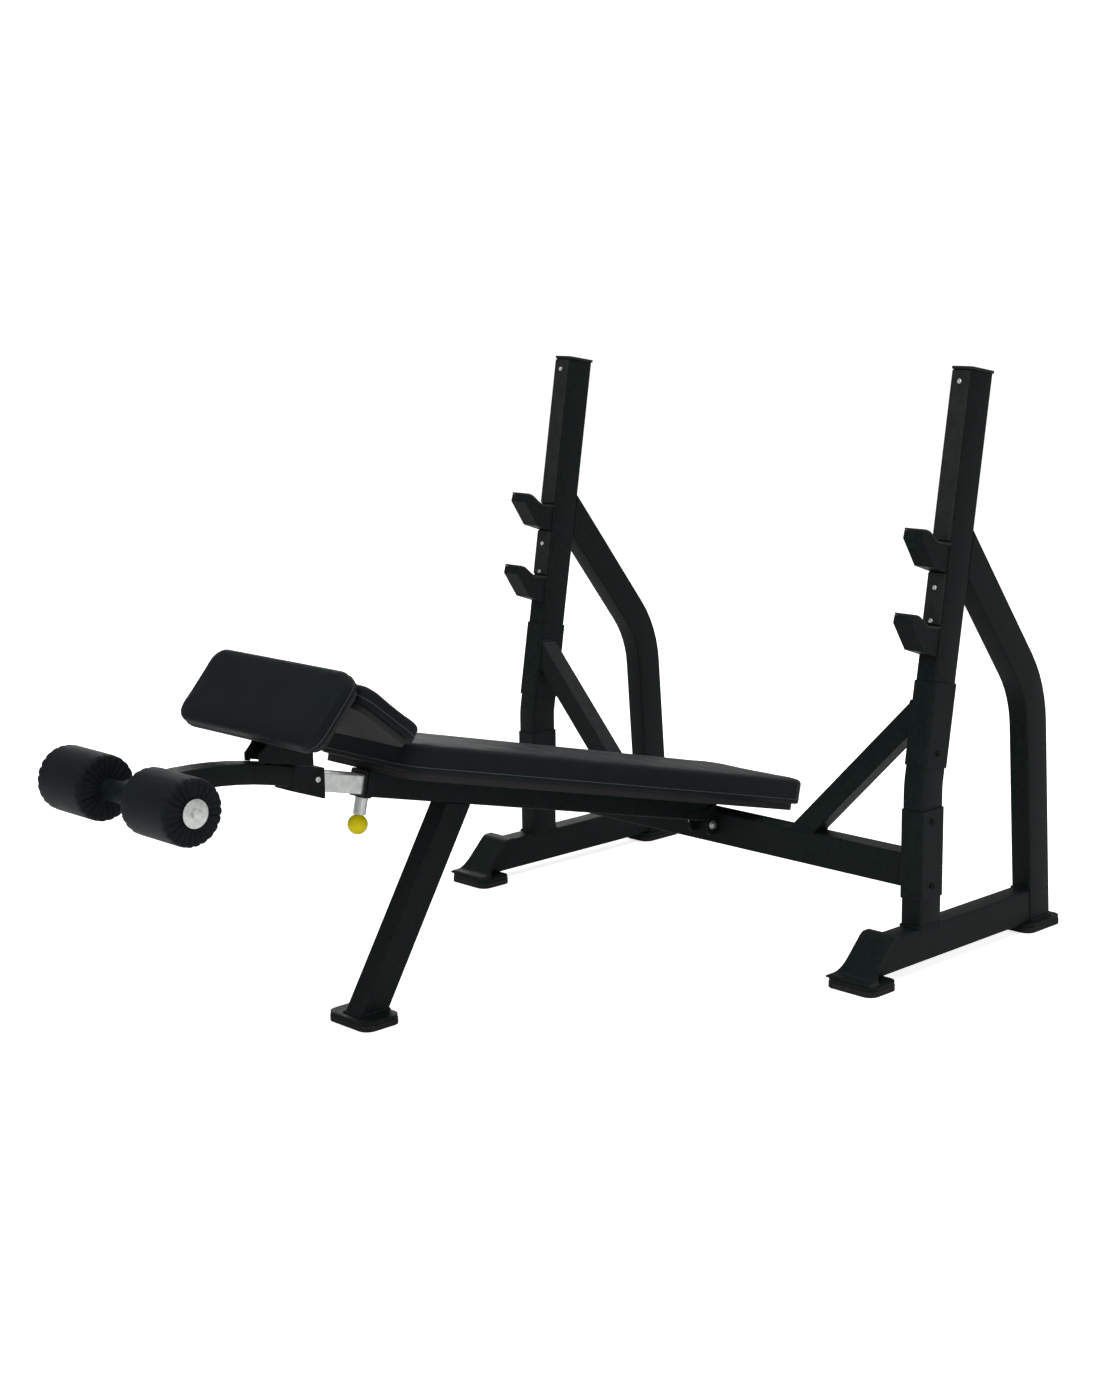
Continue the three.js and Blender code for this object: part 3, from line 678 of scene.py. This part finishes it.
def makeCatchWelds():
    for catchName, lip in catchLips.items():
        low, high = lip - weldPlaces["catchLow"], lip - weldPlaces["catchHigh"]
        for word, way in (("inner", -1), ("outer", 1)):
            x = sideX + way * weldPlaces["catchOut"]
            weldPair(f"weld_{catchName}_catch_{word}",
                     [leanPoint(x, weldPlaces["lift"], s) for s in (low, high)], closed=False)


makeFootWelds()
makeBeamWelds()
makeLegWeld()
makeCatchWelds()
print("welds made")


# ---- screws, bolts and washers, each modelled once about the origin with its head up ----

def newCylinder(radius, depth, low, sides=32):
    deselectAll()
    bpy.ops.mesh.primitive_cylinder_add(vertices=sides, radius=radius, depth=depth,
                                        location=(0, 0, low + depth / 2))
    piece = bpy.context.object
    applyPlace(piece)
    return piece


# selects the faces whose middle and normal pass the test, in edit mode
def selectFaces(piece, test):
    makeActive(piece)
    bpy.ops.object.mode_set(mode="EDIT")
    bpy.ops.mesh.select_mode(type="FACE")
    bpy.ops.mesh.select_all(action="DESELECT")
    mesh = bmesh.from_edit_mesh(piece.data)
    for face in mesh.faces:
        face.select_set(bool(test(face.calc_center_median(), face.normal)))
    bmesh.update_edit_mesh(piece.data)


def leaveEdit():
    bpy.ops.object.mode_set(mode="OBJECT")


def bevelEdges(piece, width, segments=2, angle=35):
    modifier = piece.modifiers.new("bevel", "BEVEL")
    modifier.width = width
    modifier.segments = segments
    modifier.limit_method = "ANGLE"
    modifier.angle_limit = math.radians(angle)
    applyModifiers(piece)


stripScrew = {"radius": 0.0052, "height": 0.0026, "socket": 0.0026}
sleeveBolt = {"radius": 0.0062, "height": 0.0036, "socket": 0.003}
armBolt = {"radius": 0.006, "height": 0.0034, "socket": 0.0028}
bracketBolt = {"across": 0.013, "height": 0.0065, "washer": 0.0105, "washerHeight": 0.0018}
endBolt = {"across": 0.019, "height": 0.008, "washer": 0.0265, "washerHeight": 0.003}


# button head with a round socket
def makeButtonHead(radius, height, socket):
    piece = newCylinder(radius, height, 0, 36)
    selectFaces(piece, lambda middle, normal: normal.z > 0.9)
    bpy.ops.mesh.inset(thickness=radius * 0.35, depth=height * 0.25)
    bpy.ops.mesh.inset(thickness=radius * 0.65 - socket, depth=0)
    bpy.ops.mesh.extrude_region_move(TRANSFORM_OT_translate={"value": (0, 0, -height * 0.7)})
    leaveEdit()
    bevelEdges(piece, height * 0.22, 3)
    smoothByAngle(piece, 40)
    return piece


# hexagon bolt on a flat washer, with a raised ring and a dimple
def makeHexBolt(across, height, washer, washerHeight):
    piece = newCylinder(washer, washerHeight, 0, 48)
    bevelEdges(piece, washerHeight * 0.3, 2)
    head = newCylinder(across / math.sqrt(3), height, washerHeight, 6)
    selectFaces(head, lambda middle, normal: normal.z > 0.9)
    bpy.ops.mesh.inset(thickness=across * 0.1, depth=height * 0.08)
    leaveEdit()
    bevelEdges(head, height * 0.1, 2)
    deselectAll()
    head.select_set(True)
    piece.select_set(True)
    bpy.context.view_layer.objects.active = piece
    bpy.ops.object.join()
    smoothByAngle(piece, 30)
    return piece


def placeCopies(master, slotName, places):
    for name, matrix, body in places:
        piece = linkNew(name, master.data.copy())
        piece.data.transform(matrix)
        finishPiece(piece, name, looks[slotName], slotName, body)
    bpy.data.objects.remove(master)


# strip screws sit on the leaning front face, each so far up from the kink
stripScrewPlaces = {"proud": 0.0043, "heights": (0.848, 0.418, 0.348)}
# sleeve bolts sit on the outer face, at (back from the upright's front face, height); the last one
# is above the kink, at the middle of the tube
sleeveBoltPlaces = {"out": 0.0283, "low": ((0.0375, 0.184), (0.0345, 0.325)), "leaning": 0.071}


def placeStripScrews():
    places = []
    for side, sign in bothSides:
        for k, height in enumerate(stripScrewPlaces["heights"]):
            spot = leanPoint(sign * sideX, stripScrewPlaces["proud"], height)
            places.append((f"{side}_strip_screw_{k + 1}", facing(spot, leanFront), frameBody))
    placeCopies(makeButtonHead(**stripScrew), "zinc", places)


def placeSleeveBolts():
    places = []
    for side, sign in bothSides:
        face = sign * (sideX + sleeveBoltPlaces["out"])
        spots = [(face, rackY + back, height) for back, height in sleeveBoltPlaces["low"]]
        spots.append((face, *leanPoint(0, -uprightDeep / 2, sleeveBoltPlaces["leaning"]).yz))
        for k, spot in enumerate(spots):
            matrix = facing(Vector(spot), (sign, 0, 0))
            places.append((f"{side}_sleeve_bolt_{k + 1}", matrix, frameBody))
    placeCopies(makeButtonHead(**sleeveBolt), "powder_coat", places)


# the bolt through the bracket at the spine's foot, in the room: half length, y from the rack, height
bracketBoltSpot = (0.0304, -0.003, 0.223)
# the bolt through the arm's end, in the slope's frame
armBoltSpot = (0.0261, -1.169, 0.028)


def placeBracketBolts():
    out, back, height = bracketBoltSpot
    places = [(f"spine_bracket_bolt_{side}",
               facing(Vector((sign * out, rackY + back, height)), (sign, 0, 0)), frameBody)
              for side, sign in bothSides]
    placeCopies(makeHexBolt(**bracketBolt), "zinc", places)


def placeArmBolts():
    out, along, above = armBoltSpot
    places = []
    for side, sign in bothSides:
        turn = Matrix.Rotation(sign * math.pi / 2, 4, "Y")
        matrix = slopeMatrix @ Matrix.Translation((sign * out, along, above)) @ turn
        places.append((f"arm_bolt_{side}", matrix, holdBody))
    placeCopies(makeButtonHead(**armBolt), "zinc", places)


placeStripScrews()
placeSleeveBolts()
placeBracketBolts()
placeArmBolts()
print("fasteners made")


# ---- pads: a box with round corners, swollen by air from inside, then sewn round its edge ----

padStyle = {"voxel": 0.005, "pressure": 4.5, "frames": 20, "shrink": 0.0005, "round": 0.009,
            "spread": 0.3, "held": 0.002}
kneeRidge = Matrix.Translation((0, rackY - 1.185, 0.769))
kneeStyle = {"width": 0.426, "thick": (-0.037, 0.0), "corner": 0.036, "cap": 0.002, "crown": 0.001,
             "body": holdBody, "fill": 0.9}
pads = {
    "back_pad": {"node": "back_pad_cushion", "width": 0.300, "length": (-1.052, 0.177),
                 "thick": (0.0676, 0.1256), "corner": 0.042, "cap": 0.0025, "crown": 0.0015,
                 "body": frameBody, "matrix": slopeMatrix, "fill": 0.9},
    "front_knee_cushion": {**kneeStyle, "node": "front_knee_pad", "length": (-0.168, 0.0),
                           "matrix": kneeRidge @ Matrix.Rotation(math.radians(48), 4, "X")},
    "rear_knee_cushion": {**kneeStyle, "node": "rear_knee_pad", "length": (0.0508, 0.226),
                          "matrix": kneeRidge @ Matrix.Rotation(math.radians(-38.4), 4, "X")},
}


# selects the edges whose two ends pass the test, in edit mode
def selectEdges(piece, test):
    bpy.ops.mesh.select_all(action="DESELECT")
    mesh = bmesh.from_edit_mesh(piece.data)
    for edge in mesh.edges:
        first, second = (vert.co for vert in edge.verts)
        edge.select_set(bool(test(first, second)))
    bmesh.update_edit_mesh(piece.data)


def remeshEvenly(piece, size):
    remesh = piece.modifiers.new("remesh", "REMESH")
    remesh.mode = "VOXEL"
    remesh.voxel_size = size
    applyModifiers(piece)


def makePadBlock(style):
    low, high = style["length"]
    bottom, top = style["thick"]
    less = padStyle["shrink"]
    deselectAll()
    bpy.ops.mesh.primitive_cube_add(size=1, location=(0, (low + high) / 2, (bottom + top - less) / 2))
    piece = bpy.context.object
    piece.scale = (style["width"] - 2 * less, high - low - 2 * less, top - bottom - less)
    applyPlace(piece)
    bpy.ops.object.mode_set(mode="EDIT")
    bpy.ops.mesh.select_mode(type="EDGE")
    middle = (bottom + top) / 2
    selectEdges(piece, lambda first, second: (first.z - middle) * (second.z - middle) < 0)
    bpy.ops.mesh.bevel(offset=style["corner"], segments=10, affect="EDGES")
    selectEdges(piece, lambda first, second: min(first.z, second.z) > middle)
    bpy.ops.mesh.bevel(offset=padStyle["round"], segments=4, affect="EDGES")
    leaveEdit()
    remeshEvenly(piece, padStyle["voxel"])
    return piece


rollerStyle = {"inner": 0.0655, "length": 0.1455, "radius": 0.0625, "cap": 0.004, "held": 0.02}
# the roller before it is swollen
rollerCore = {"radius": 0.0585, "length": 0.1415, "rim": 0.006, "round": 0.014, "voxel": 0.0042}
rollerCentre = Vector((0, rackY - 1.5417, 0.5638))


def makeRollerBlock():
    deselectAll()
    bpy.ops.mesh.primitive_cylinder_add(vertices=64, radius=rollerCore["radius"],
                                        depth=rollerCore["length"])
    piece = bpy.context.object
    selectFaces(piece, lambda middle, normal: abs(normal.z) > 0.9)
    bpy.ops.mesh.inset(thickness=rollerCore["rim"], depth=0)
    leaveEdit()
    bevelEdges(piece, rollerCore["round"], 5, 60)
    remeshEvenly(piece, rollerCore["voxel"])
    return piece


def addAir(piece, pinned):
    group = piece.vertex_groups.new(name="held")
    group.add([vert.index for vert in piece.data.vertices if pinned(vert.co)], 1, "REPLACE")
    cloth = piece.modifiers.new("air", "CLOTH")
    settings = cloth.settings
    settings.quality = 6
    settings.mass = 0.3
    settings.tension_stiffness = 18
    settings.compression_stiffness = 18
    settings.bending_stiffness = 1.5
    settings.use_pressure = True
    settings.uniform_pressure_force = padStyle["pressure"]
    settings.effector_weights.gravity = 0
    settings.vertex_group_mass = "held"
    cloth.point_cache.frame_start = 1
    cloth.point_cache.frame_end = padStyle["frames"]


# reads the swollen shape, keeps each point within the cap (and within part of it sideways), and
# drops the simulation
def settle(piece, cap, spread):
    graph = bpy.context.evaluated_depsgraph_get()
    swollen = piece.evaluated_get(graph).to_mesh()
    moved = [vert.co.copy() for vert in swollen.vertices]
    piece.evaluated_get(graph).to_mesh_clear()
    piece.modifiers.clear()
    for vert, place in zip(piece.data.vertices, moved):
        step = place - vert.co
        if step.length > cap:
            step *= cap / step.length
        vert.co += Vector((step.x * spread, step.y * spread, step.z))
    piece.vertex_groups.clear()
    smooth = piece.modifiers.new("relax", "SMOOTH")
    smooth.factor = 0.5
    smooth.iterations = 2
    applyModifiers(piece)


softPieces = []
for name, style in pads.items():
    block = makePadBlock(style)
    heldBelow = style["thick"][0] + padStyle["held"]
    addAir(block, lambda place: place.z < heldBelow)
    softPieces.append((name, block, style["cap"]))
rollerBlock = makeRollerBlock()
addAir(rollerBlock, lambda place: math.hypot(place.x, place.y) < rollerStyle["held"])
softPieces.append(("roller", rollerBlock, rollerStyle["cap"]))

for step in range(1, padStyle["frames"] + 1):
    bpy.context.scene.frame_set(step)
for name, block, cap in softPieces:
    settle(block, cap, 1.0 if name == "roller" else padStyle["spread"])
bpy.context.scene.frame_set(1)
print("pads swollen")


def subdivideOnce(piece):
    modifier = piece.modifiers.new("finer", "SUBSURF")
    modifier.levels = modifier.render_levels = 1
    applyModifiers(piece)


seamStyle = {"out": 0.004, "up": 0.012, "radius": 0.0009, "stand": 0.25}


# a round welt that lies on the cover along the given loop
def makeWelt(name, cover, loop, body):
    radius = seamStyle["radius"]
    tree = BVHTree.FromObject(cover, bpy.context.evaluated_depsgraph_get())
    curve = bpy.data.curves.new(name, "CURVE")
    curve.dimensions = "3D"
    curve.bevel_depth = radius
    curve.bevel_resolution = 2
    spline = curve.splines.new("POLY")
    spline.points.add(len(loop) - 1)
    for k, place in enumerate(loop):
        near, normal = tree.find_nearest(place)[:2]
        spline.points[k].co = (*(near + normal * radius * seamStyle["stand"]), 1)
    spline.use_cyclic_u = True
    makeActive(linkNew(name, curve))
    bpy.ops.object.convert(target="MESH")
    bpy.ops.object.shade_smooth()
    return finishPiece(bpy.context.object, name, seamThread, "vinyl", body)


# points round a rounded rectangle, evenly spaced
def roundedLoop(width, low, high, corner, z, spacing=0.004):
    places = []
    x, y0, y1 = width / 2 - corner, low + corner, high - corner
    steps = max(6, round(corner * math.pi / 2 / spacing))
    for cx, cy, start in ((x, y1, 0), (-x, y1, 90), (-x, y0, 180), (x, y0, 270)):
        for k in range(steps + 1):
            angle = math.radians(start + 90 * k / steps)
            places.append(Vector((cx + corner * math.cos(angle), cy + corner * math.sin(angle), z)))
    filled = []
    for first, second in zip(places, places[1:] + places[:1]):
        steps = max(1, round((second - first).length / spacing))
        filled += [first.lerp(second, k / steps) for k in range(steps)]
    return filled


# brings a swollen block to the given box
def fitToBox(piece, low, high):
    places = [vert.co for vert in piece.data.vertices]
    for axis in range(3):
        least, most = min(place[axis] for place in places), max(place[axis] for place in places)
        for place in places:
            place[axis] = low[axis] + (place[axis] - least) * (high[axis] - low[axis]) / (most - least)


def finishPad(name, block, style):
    width, (low, high), (bottom, top) = style["width"], style["length"], style["thick"]
    subdivideOnce(block)
    fitToBox(block, (-width / 2, low, bottom), (width / 2, high, top + style["crown"]))
    makeActive(block)
    bpy.ops.object.shade_smooth()
    out, height = seamStyle["out"], bottom + seamStyle["up"]
    loop = roundedLoop(width + 2 * out, low - out, high + out, style["corner"], height)
    seam = makeWelt(f"{name}_seam", block, loop, style["body"])
    for piece in (block, seam):
        piece.data.transform(style["matrix"])
    finishPiece(block, name, looks["vinyl"], "vinyl", style["body"])
    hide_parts(style["node"])


for name, block, cap in softPieces:
    if name in pads:
        finishPad(name, block, pads[name])
print("pads sewn")


# rollers: the cover is gathered towards the hub at both ends; the folds fade in over "fade" from
# "reach" short of the end, and between the hub and the rim
gatherStyle = {"folds": 24, "depth": 0.0042, "core": 0.008, "reach": 0.022, "fade": 0.016,
               "hub": 0.018, "hubFade": 0.012, "rim": 0.064, "rimFade": 0.014,
               "flat": 0.35, "waver": 0.25}


def ramp(value, width):
    return min(1, max(0, value / width))


def gatherEnds(block):
    style = gatherStyle
    start = rollerStyle["length"] / 2 - style["reach"]
    for vert in block.data.vertices:
        place = vert.co
        r = math.hypot(place.x, place.y)
        if r < style["core"] or abs(place.z) < start:
            continue
        angle = math.atan2(place.y, place.x)
        end = 1 if place.z > 0 else -1
        near = ramp(abs(place.z) - start, style["fade"])
        rise = ramp(r - style["hub"], style["hubFade"]) * ramp(style["rim"] - r, style["rimFade"])
        fold = abs(math.sin(angle * style["folds"] / 2 + style["waver"] * math.sin(3 * angle)))
        uneven = 1 - style["waver"] + style["waver"] * math.sin(5 * angle + end)
        depth = style["depth"] * near * uneven * (1 - fold) ** 1.5
        place.z -= end * depth * (style["flat"] + rise)
        shrink = depth * 0.5 * near / max(r, 0.01)
        place.x *= 1 - shrink
        place.y *= 1 - shrink


def finishRollerBlock():
    radius, half = rollerStyle["radius"], rollerStyle["length"] / 2
    subdivideOnce(rollerBlock)
    fitToBox(rollerBlock, (-radius, -radius, -half), (radius, radius, half))
    gatherEnds(rollerBlock)
    makeActive(rollerBlock)
    bpy.ops.object.shade_smooth()


def placeRollers():
    middle = rollerStyle["inner"] + rollerStyle["length"] / 2
    for side, sign in bothSides:
        turn = Matrix.Rotation(sign * math.pi / 2, 4, "Y")
        roller = linkNew(f"{side}_roller_cover", rollerBlock.data.copy())
        roller.data.transform(Matrix.Translation(rollerCentre + Vector((sign * middle, 0, 0))) @ turn)
        finishPiece(roller, f"{side}_roller_cover", looks["vinyl"], "vinyl", f"{side}_roller")
        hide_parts(f"{side}_roller")
    bpy.data.objects.remove(rollerBlock)


endBoltGap = 0.0008


def placeEndBolts():
    face = rollerStyle["inner"] + rollerStyle["length"] + endBoltGap
    places = [(f"{side}_roller_end_bolt",
               facing(rollerCentre + Vector((sign * face, 0, 0)), (sign, 0, 0)), f"{side}_roller")
              for side, sign in bothSides]
    placeCopies(makeHexBolt(**endBolt), "zinc", places)


finishRollerBlock()
placeRollers()
placeEndBolts()
print("rollers made")


# ---- ball knob ----

# the sphere's cap above "neck" of its radius is drawn up and flattened into a seat
knobStyle = {"radius": 0.0205, "below": -0.058, "y": -1.030, "neck": 0.93, "rise": 0.0015,
             "seat": 0.0003}


def makeKnob():
    style = knobStyle
    radius = style["radius"]
    deselectAll()
    bpy.ops.mesh.primitive_uv_sphere_add(segments=48, ring_count=32, radius=radius)
    piece = bpy.context.object
    selectFaces(piece, lambda middle, normal: middle.z > radius * style["neck"])
    bpy.ops.mesh.extrude_region_move(TRANSFORM_OT_translate={"value": (0, 0, style["rise"])})
    bpy.ops.transform.resize(value=(1, 1, 0), center_override=(0, 0, radius + style["seat"]))
    leaveEdit()
    smoothByAngle(piece, 40)
    placeMesh(piece, slopeMatrix @ Matrix.Translation((0, style["y"], style["below"])))
    finishPiece(piece, "ball_knob", looks["yellow_ball"], "yellow_ball", "pull_pin")
    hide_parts("pin_knob")


makeKnob()
print("knob made")
